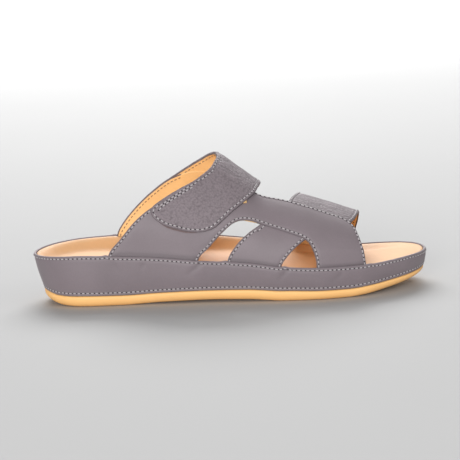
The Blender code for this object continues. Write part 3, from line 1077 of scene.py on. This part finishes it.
def make_footbed():
    mesh_data = new_mesh_data("edge")
    turns = ring_turns(STATIONS)
    rings = BROW_RINGS + MARGIN_STEPS + 1
    made, row, col = add_grid(
        mesh_data, lambda row, col: footbed_point(turns[row], col), len(turns), rings,
    )
    set_values(mesh_data, made, edge=1 - ease((col - BROW_RINGS) / 2))
    add_across(mesh_data, footbed_point, rings - 1, FOOTBED_CROSS_STEPS)
    add_across(mesh_data, footbed_point, 0, FLAT_CROSS_STEPS)
    close_seams(mesh_data)
    tan = material_of("tan leather", footbed_finish)
    return add_piece("footbed_cover", mesh_data, tan, ["footbed"])


def extrude_inwards(mesh_data, inner_points):
    """Give a sheet its thickness: a copy of each point goes to its place on the inner face."""
    layer = mesh_data.verts.layers.int.new("number")
    for number, vert in enumerate(mesh_data.verts):
        vert[layer] = number
    faces = list(mesh_data.faces)
    made = bmesh.ops.extrude_face_region(mesh_data, geom=faces, use_keep_orig=True)["geom"]
    for vert in made:
        if isinstance(vert, bmesh.types.BMVert):
            vert.co = inner_points[vert[layer]]
    mesh_data.verts.layers.int.remove(layer)
    bmesh.ops.recalc_face_normals(mesh_data, faces=mesh_data.faces)


def spread(runs, crosses):
    """Run and cross of every point of a sheet, in one row each."""
    return (runs[:, None] + 0 * crosses).ravel(), crosses.ravel()


def closed_sheet(outer, inner, shape, values):
    """Sheet between the points of its outer and its inner face."""
    mesh_data = new_mesh_data(*values)
    outer, inner = outer.reshape(*shape, 3), inner.reshape(*shape, 3)
    made, row, col = add_grid(mesh_data, lambda row, col: outer[row, col], *shape)
    for name, numbers in values.items():
        set_values(mesh_data, made, **{name: numbers.reshape(shape)[row, col]})
    extrude_inwards(mesh_data, inner[row, col])
    return mesh_data


def sheet_of(strap, runs, crosses, outer_height, inner_height, values):
    """Closed sheet of leather on the last, with its two faces at these heights."""
    run, cross = spread(runs, crosses)
    faces = (strap.point(run, cross, height) for height in (outer_height, inner_height))
    return closed_sheet(*faces, crosses.shape, values)


def is_covered(strap, run):
    """Where the rear edge of the inner panel lies under the instep strap."""
    return (strap is INNER_PANEL) & (run > COVERED_ROWS[0]) & (run < COVERED_ROWS[1])


def row_inset(strap):
    """From an edge to its stitches, a little more on the instep strap."""
    return sizes().stitch_inset * (WIDE_ROW if strap is INSTEP else 1.0)


def leather_sheet(name, strap, pebble, crease, nodes):
    """Leather of a strap, with its edges folded over and a stitch groove beside them."""
    size = sizes()
    runs = strap.runs(STRAP_STEP, EDGE_PLACES, strap.first, strap.last)
    crosses = strap.crosses(runs, EDGE_PLACES, STRAP_CROSS_STEPS)
    run, cross = spread(runs, crosses)
    borders = [line for line, inside in strap.borders(strap.first, strap.last, 0)]
    away = distance_to(borders, strap.point(run, cross, 0))
    near = np.clip(1 - away / size.edge_round, 0, 1)
    round_off = size.edge_round * (1 - np.sqrt(1 - near ** 2))
    groove = size.groove_depth * hump(away - row_inset(strap), GROOVE_WIDTH)
    puff = EDGE_PUFF * hump(away - 0.5 * row_inset(strap), 0.0008)
    outer = STRAP_THICKNESS - round_off - groove + puff
    fold = ease((away - size.lining_inset + FOLD_RAMP) / FOLD_RAMP)
    fold = np.where(is_covered(strap, run) & (cross < 0.5), 1, fold)
    inner = size.lining_thickness * fold
    # edge: darker near each edge, and painted shade where the strap runs down behind the wrap's rim
    girth = strap.spot(run, cross)[1]
    rim = np.minimum(girth, 1 - girth)
    values = {
        "edge": np.maximum(1 - ease(away / 0.0009), SHADE * hump(rim, 0.009)),
        "pebble": pebble(girth),
        "crease": crease(girth),
    }
    mesh_data = sheet_of(strap, runs, crosses, outer, inner, values)
    leather = material_of("grey leather", leather_finish)
    return add_piece(name, mesh_data, leather, nodes)


def lining_sheet(name, strap, slip=NO_SLIP):
    """Lining inside a strap, let in between its folded edges except where it slips out."""
    size = sizes()
    inset = size.lining_inset
    runs = strap.runs(LINING_STEP, np.array((inset, 0.002)), strap.first, strap.last)
    crosses = strap.crosses(runs, np.array((inset, 0.002, 0.004)), LINING_CROSS_STEPS)
    crosses[:, 0] = np.where(is_covered(strap, runs), 0, crosses[:, 0])
    middle, spread, reach = slip
    crosses[:, -1] += hump(runs - middle, spread) * (inset + reach) / strap.width(runs)
    high = size.lining_thickness - LINING_CLEAR
    mesh_data = sheet_of(strap, runs, crosses, high, LINING_LOW, {})
    lining = material_of("lining leather", lining_finish)
    return add_piece(name, mesh_data, lining)


def nowhere(girth):
    return 0 * girth


def everywhere(girth):
    return 0 * girth + 1


def vamp_pebble(girth):
    """Smooth where the vamp strap crosses under the outer panel, grained above it."""
    return ease((girth - 0.19) / 0.04)


def ridge_crease(girth):
    """Creased where a strap bends over the ridge of the foot."""
    return hump(girth - 0.46, 0.15)


def make_upper():
    leather_sheet("outer_panel", OUTER_PANEL, nowhere, nowhere, ["upper"])
    leather_sheet("vamp_strap", VAMP, vamp_pebble, ridge_crease, ["upper"])
    leather_sheet("inner_panel", INNER_PANEL, nowhere, nowhere, ["upper"])
    lining_sheet("outer_panel_lining", OUTER_PANEL, OUTER_SLIP)
    lining_sheet("vamp_lining", VAMP)
    lining_sheet("inner_panel_lining", INNER_PANEL)


def make_instep_strap():
    leather_sheet("instep_leather", INSTEP, everywhere, ridge_crease, ["instep_strap"])
    lining_sheet("instep_lining", INSTEP, INSTEP_SLIP)
    size = sizes()
    runs = INSTEP.runs(LINING_STEP, np.array((0.0, 0.001)), FLAP_START, INSTEP.last)
    crosses = 0.08 + 0.84 * INSTEP.crosses(runs, np.array((0.0, 0.001)), LINING_CROSS_STEPS)
    run, cross = spread(runs, crosses)
    along, girth = INSTEP.spot(run, cross)
    out = last_normal(along, girth)
    low = last_point(along, girth - size.tape_peek)
    lift = panel_lift(girth) + STRAP_THICKNESS
    outer = low + out * (lift + STRAP_GAP + TAPE_RISE)[:, None]
    inner = low + out * lift[:, None]
    mesh_data = closed_sheet(outer, inner, crosses.shape, {})
    tape = material_of("loop tape", tape_finish)
    add_piece("flap_tape", mesh_data, tape)


def surface_of(piece):
    return BVHTree.FromObject(piece, bpy.context.evaluated_depsgraph_get())


def stitch_places(line, pitch):
    """Middle of each stitch along a line, and the direction in which it runs."""
    length = travelled(line)
    count = max(int(length[-1] / pitch), 1)
    places = (np.arange(count) + 0.5) * length[-1] / count
    step = 0.4 * pitch
    points, after, before = (
        np.column_stack([np.interp(places + shift, length, line[:, axis]) for axis in range(3)])
        for shift in (0, step, -step)
    )
    return points, after - before, length[-1] / count


def lie_on(surface, point, outwards):
    """Nearest place on a surface from just outside it, and the way out of it there."""
    place, normal, _, _ = surface.find_nearest(Vector(point + outwards * 0.002))
    return place, normal


def seat(place, normal, heading, lengths):
    """Matrix that lays a thing along a heading on a surface, with these half lengths."""
    heading = (heading - normal * heading.dot(normal)).normalized()
    side = normal.cross(heading)
    turned = Matrix((heading, side, normal)).transposed().to_4x4()
    return Matrix.Translation(place) @ turned @ Matrix.Diagonal((*lengths, 1))


class Beads:
    """Many copies of one small rounded bead, kept in one mesh."""

    def __init__(self, name, v_segments):
        mesh_data = bmesh.new()
        bmesh.ops.create_uvsphere(mesh_data, u_segments=8, v_segments=v_segments, radius=1)
        self.bead = bpy.data.meshes.new(name + "_bead")
        mesh_data.to_mesh(self.bead)
        mesh_data.free()
        self.points = np.array([(*vert.co, 1.0) for vert in self.bead.vertices])
        self.mesh_data = bmesh.new()

    def add(self, matrix):
        points = self.points @ np.array(matrix).T
        self.bead.vertices.foreach_set("co", points[:, :3].ravel())
        self.mesh_data.from_mesh(self.bead)


def sew(thread, holes, surface, line, outwards):
    """Row of stitches with a needle hole between each two, laid on a surface along a line."""
    size = sizes()
    points, headings, pitch = stitch_places(line, size.stitch_pitch)
    outs = np.column_stack([
        np.interp(np.arange(len(points)), np.linspace(0, len(points) - 1, len(line)), part)
        for part in outwards.T
    ])
    half = size.stitch_length / 2, size.stitch_width / 2, size.stitch_width * STITCH_FLATNESS
    wide = size.needle_hole / 2
    for point, heading, out in zip(points, headings, outs):
        place, normal = lie_on(surface, point, out)
        thread.add(seat(place + normal * half[2] * STITCH_LIFT, normal, Vector(heading), half))
        if holes is not None:
            edge = Vector(point) + Vector(heading).normalized() * pitch / 2
            place, normal = lie_on(surface, np.array(edge), out)
            flat = wide, wide, wide * HOLE_FLATNESS
            holes.add(seat(place, normal, Vector(heading), flat))


def border_rows(strap, start, end, height, inset):
    """Lines for stitches this far inside the edges of a strap, and the ways out of it there."""
    borders = strap.borders(start, end, height)
    edge_lines = [points for points, inside in borders]
    centre = strap.point(np.array([(start + end) / 2]), np.array([0.5]), -0.03)
    for number, (points, inside) in enumerate(borders):
        line = points + inside * inset
        out = np.cross(inside, np.gradient(points, axis=0))
        out /= np.linalg.norm(out, axis=1)[:, None]
        out *= np.sign(np.sum(out * (line - centre), axis=1))[:, None]
        keep = distance_to(edge_lines, line) > inset * 0.96
        parts = [keep]
        if strap is INNER_PANEL and number == 0:
            runs = np.linspace(start, end, len(line))
            parts = [keep & (runs <= COVERED_ROWS[0]), keep & (runs >= COVERED_ROWS[1])]
        for shown in parts:
            if shown.sum() > 3:
                yield line[shown], out[shown]


def make_stitching(pieces):
    """Grey rows on the leather and the wrap, and brown rows on the linings."""
    size = sizes()
    thread, inner_thread = Beads("stitch", 5), Beads("lining_stitch", 5)
    # Each needle hole is a flat dark disc of painted shade
    holes = Beads("needle_hole", 4)
    for strap, leather, lining, start, end in (
        (OUTER_PANEL, "outer_panel", None, LEG_ROW_START, OUTER_PANEL.last - LEG_ROW_START),
        (VAMP, "vamp_strap", "vamp_lining", LEG_ROW_START, VAMP.last - LEG_ROW_START),
        (INNER_PANEL, "inner_panel", "inner_panel_lining", LEG_ROW_START, INNER_PANEL.last),
        (INSTEP, "instep_leather", "instep_lining", 0.0, INSTEP.last),
    ):
        surface = surface_of(pieces[leather])
        for line, out in border_rows(strap, start, end, STRAP_THICKNESS, row_inset(strap)):
            sew(thread, holes, surface, line, out)
        if lining:
            surface = surface_of(pieces[lining])
            for line, out in border_rows(strap, start, end, 0, size.stitch_inset * WIDE_ROW):
                sew(inner_thread, None, surface, line, -out)
    runs = np.linspace(FLAP_START, FLAP_ROW_END, 200)
    cross = size.flap_row_inset / INSTEP.width(runs)
    line = INSTEP.point(runs, cross, STRAP_THICKNESS)
    out = last_normal(*INSTEP.spot(runs, cross))
    sew(thread, holes, surface_of(pieces["instep_leather"]), line, out)

    surface = surface_of(pieces["platform_wrap"])
    turns = np.linspace(0, 1, 1200)
    rim = rim_height(turns) + rim_bump(turns) - WRAP_THICKNESS / 2 - size.rim_stitch_drop
    seam = seam_height(along_of(turns)) + GAP + size.seam_stitch_rise
    for height in (rim, seam):
        line = wall_point(turns, height, 0)
        out = wall_point(turns, height, -0.001) - line
        sew(thread, holes, surface, line, out / np.linalg.norm(out, axis=1)[:, None])
    grey = thread_finish("grey thread", colours().thread)
    brown = thread_finish("brown thread", colours().lining_thread)
    add_piece("stitches", thread.mesh_data, grey)
    add_piece("needle_holes", holes.mesh_data, needle_hole_shade_finish())
    add_piece("lining_stitches", inner_thread.mesh_data, brown)


def add_light(name, place, target, size, power):
    data = bpy.data.lights.new(name, "AREA")
    data.shape = "DISK"
    data.size = size
    data.energy = power
    light = bpy.data.objects.new(name, data)
    light.location = place
    light.rotation_euler = (Vector(target) - Vector(place)).to_track_quat("-Z", "Y").to_euler()
    bpy.context.scene.collection.objects.link(light)


def make_camera():
    """Camera at the photo's viewing angle, turned a little about its own axis."""
    stage = bpy.context.scene.sandal_stage
    yaw, pitch = stage.yaw, stage.pitch
    ahead = Vector((
        math.sin(yaw) * math.cos(pitch), math.cos(yaw) * math.cos(pitch), -math.sin(pitch),
    ))
    right = Vector((math.cos(yaw), -math.sin(yaw), 0))
    up = right.cross(ahead)
    rolled_right = right * math.cos(stage.roll) - up * math.sin(stage.roll)
    rolled_up = right * math.sin(stage.roll) + up * math.cos(stage.roll)
    data = bpy.data.cameras.new("camera")
    data.lens = stage.lens
    data.sensor_width = 36
    data.shift_x, data.shift_y = (shift / PHOTO_SIDE for shift in PHOTO_SHIFT)
    camera = bpy.data.objects.new("camera", data)
    place = Vector((0, 0, stage.aim_height)) - ahead * stage.distance
    turned = Matrix((rolled_right, rolled_up, -ahead)).transposed().to_4x4()
    camera.matrix_world = Matrix.Translation(place) @ turned
    bpy.context.scene.collection.objects.link(camera)
    bpy.context.scene.camera = camera


def make_stage():
    stage = bpy.context.scene.sandal_stage
    mesh_data = bmesh.new()
    bmesh.ops.create_grid(mesh_data, x_segments=4, y_segments=4, size=30)
    add_object("floor", mesh_data, floor_finish())
    for name, place, target, size in LIGHTS:
        add_light(name, place, target, size, getattr(stage, name + "_power"))
    world = bpy.data.worlds.new("studio")
    world.use_nodes = True
    background = world.node_tree.nodes["Background"]
    background.inputs["Color"].default_value = (1, 1, 1, 1)
    background.inputs["Strength"].default_value = stage.sky
    bpy.context.scene.world = world
    bpy.context.scene.view_settings.view_transform = "Standard"
    make_camera()


def number_prop(name, description, default, **settings):
    return FloatProperty(name=name, description=description, default=default, **settings)


def length_prop(name, description, default):
    return number_prop(name, description, default, min=0.0, precision=5, unit="LENGTH")


def angle_prop(name, description, degrees):
    return number_prop(name, description, math.radians(degrees), subtype="ANGLE")


def colour_prop(name, description, default):
    return FloatVectorProperty(
        name=name, description=description, default=default, size=3, min=0.0, max=1.0,
        subtype="COLOR",
    )


class SandalSizes(bpy.types.PropertyGroup):
    """Sizes of the leather work, the stitches and the tread"""

    edge_round: length_prop("Edge round", "Rounding of a folded leather edge", 0.0009)
    lining_thickness: length_prop("Lining", "Thickness of the lining leather", 0.0007)
    lining_inset: length_prop("Lining inset", "From an edge to the lining", 0.0010)
    groove_depth: length_prop("Groove", "How far a row of stitches sinks in", 0.00028)
    stitch_pitch: length_prop("Stitch pitch", "From one stitch to the next", 0.00315)
    stitch_length: length_prop("Stitch length", "Length of a stitch that shows", 0.0023)
    stitch_width: length_prop("Stitch width", "Thickness of the thread", 0.00085)
    needle_hole: length_prop("Needle hole", "Width of a needle hole", 0.0011)
    stitch_inset: length_prop("Stitch inset", "From an edge to its stitches", 0.0022)
    flap_row_inset: length_prop("Second row", "From the flap's rear edge to its second row", 0.0057)
    rim_stitch_drop: length_prop("Rim row", "From the folded rim down to its stitches", 0.0016)
    seam_stitch_rise: length_prop("Seam row", "From the outsole up to the stitches", 0.0015)
    rim_bump: length_prop("Rim bump", "How far a leg pushes up the rim beside it", 0.0008)
    crease_depth: length_prop("Crease", "Depth of the deepest crease in the wrap", 0.0009)
    tread_depth: length_prop("Tread depth", "Depth of the grooves under the sole", 0.0009)
    tread_pitch: length_prop("Tread pitch", "From one groove to the next", 0.0095)
    tape_peek: number_prop(
        "Tape peek", "How far the tape shows below the flap, as a share of the girth", 0.006,
        min=0.0,
    )


class SandalColours(bpy.types.PropertyGroup):
    """Colours of the sandal"""

    leather: colour_prop("Leather", "Grey leather of the upper and the wrap", (0.214, 0.177, 0.192))
    footbed: colour_prop("Footbed", "Tan leather under the foot", (0.70, 0.40, 0.19))
    lining: colour_prop("Lining", "Lining of the straps", (0.86, 0.54, 0.23))
    rubber: colour_prop("Rubber", "Moulded outsole", (1.0, 0.55, 0.21))
    thread: colour_prop("Thread", "Stitches outside", (0.46, 0.43, 0.44))
    lining_thread: colour_prop("Lining thread", "Stitches on the lining", (0.30, 0.17, 0.09))
    # The needle hole colour is painted shade in the holes
    needle_hole: colour_prop("Needle hole", "Leather in a needle hole", (0.035, 0.030, 0.033))
    tape: colour_prop("Tape", "Loop tape under the flap", (0.17, 0.12, 0.12))


class SandalStage(bpy.types.PropertyGroup):
    """Camera, lights and floor"""

    yaw: angle_prop("Yaw", "How far the camera looks towards the toe", 2.0)
    pitch: angle_prop("Pitch", "How far the camera looks down", 10.0)
    roll: angle_prop("Roll", "How far the camera is turned about its axis", 2.5)
    distance: number_prop("Distance", "From the camera to the sandal", 1.207, unit="LENGTH")
    aim_height: number_prop("Aim", "Height that the camera aims at", 0.045, unit="LENGTH")
    lens: number_prop("Lens", "Focal length in millimetres", 130.0, min=10.0)
    front_power: number_prop("Front", "Light before the sandal", 37.0)
    fill_power: number_prop("Fill", "Light at the front right", 4.0)
    top_power: number_prop("Top", "Light behind and above", 9.5)
    far_power: number_prop("Far", "Light on the floor behind", 500.0)
    sky: number_prop("Sky", "Light from all round", 0.38)
    floor_colour: colour_prop("Floor", "Plain pale floor", (0.45, 0.45, 0.45))


class SANDAL_OT_outsole(bpy.types.Operator):
    """Add the moulded outsole with its tread"""

    bl_idname = "sandal.outsole"
    bl_label = "Outsole"

    def execute(self, context):
        make_outsole()
        return {"FINISHED"}


class SANDAL_OT_wrap(bpy.types.Operator):
    """Add the leather wrapped round the platform"""

    bl_idname = "sandal.wrap"
    bl_label = "Platform wrap"

    def execute(self, context):
        make_wrap()
        return {"FINISHED"}


class SANDAL_OT_footbed(bpy.types.Operator):
    """Add the dished footbed"""

    bl_idname = "sandal.footbed"
    bl_label = "Footbed"

    def execute(self, context):
        make_footbed()
        return {"FINISHED"}


class SANDAL_OT_upper(bpy.types.Operator):
    """Add the two side panels and the vamp strap with their linings"""

    bl_idname = "sandal.upper"
    bl_label = "Upper"

    def execute(self, context):
        make_upper()
        return {"FINISHED"}


class SANDAL_OT_instep_strap(bpy.types.Operator):
    """Add the instep strap with its lining and the tape under its flap"""

    bl_idname = "sandal.instep_strap"
    bl_label = "Instep strap"

    def execute(self, context):
        make_instep_strap()
        return {"FINISHED"}


class SANDAL_OT_stitching(bpy.types.Operator):
    """Sew every row of stitches on the leather that is there"""

    bl_idname = "sandal.stitching"
    bl_label = "Stitching"

    def execute(self, context):
        make_stitching(bpy.data.objects)
        return {"FINISHED"}


class SANDAL_OT_stage(bpy.types.Operator):
    """Add the floor, the lights and the camera"""

    bl_idname = "sandal.stage"
    bl_label = "Stage"

    def execute(self, context):
        make_stage()
        return {"FINISHED"}


class SANDAL_PT_panel(bpy.types.Panel):
    """Pieces, sizes and colours of the sandal"""

    bl_label = "Slip-on sandal"
    bl_idname = "SANDAL_PT_panel"
    bl_space_type = "VIEW_3D"
    bl_region_type = "UI"
    bl_category = "Sandal"

    def draw(self, context):
        layout = self.layout
        for operator in OPERATORS:
            layout.operator(operator.bl_idname)
        for group in (
            context.scene.sandal_sizes, context.scene.sandal_colours, context.scene.sandal_stage,
        ):
            box = layout.box()
            for name in group.bl_rna.properties.keys():
                if name not in ("rna_type", "name"):
                    box.prop(group, name)


OPERATORS = (
    SANDAL_OT_outsole,
    SANDAL_OT_wrap,
    SANDAL_OT_footbed,
    SANDAL_OT_upper,
    SANDAL_OT_instep_strap,
    SANDAL_OT_stitching,
    SANDAL_OT_stage,
)
CLASSES = (SandalSizes, SandalColours, SandalStage, *OPERATORS, SANDAL_PT_panel)


def register():
    for cls in CLASSES:
        bpy.utils.register_class(cls)
    bpy.types.Scene.sandal_sizes = PointerProperty(type=SandalSizes)
    bpy.types.Scene.sandal_colours = PointerProperty(type=SandalColours)
    bpy.types.Scene.sandal_stage = PointerProperty(type=SandalStage)


def unregister():
    del bpy.types.Scene.sandal_stage
    del bpy.types.Scene.sandal_colours
    del bpy.types.Scene.sandal_sizes
    for cls in reversed(CLASSES):
        bpy.utils.unregister_class(cls)


def main():
    register()
    bpy.ops.sandal.outsole()
    bpy.ops.sandal.wrap()
    bpy.ops.sandal.footbed()
    bpy.ops.sandal.upper()
    bpy.ops.sandal.instep_strap()
    bpy.ops.sandal.stitching()
    bpy.ops.sandal.stage()


if __name__ == "__main__":
    main()
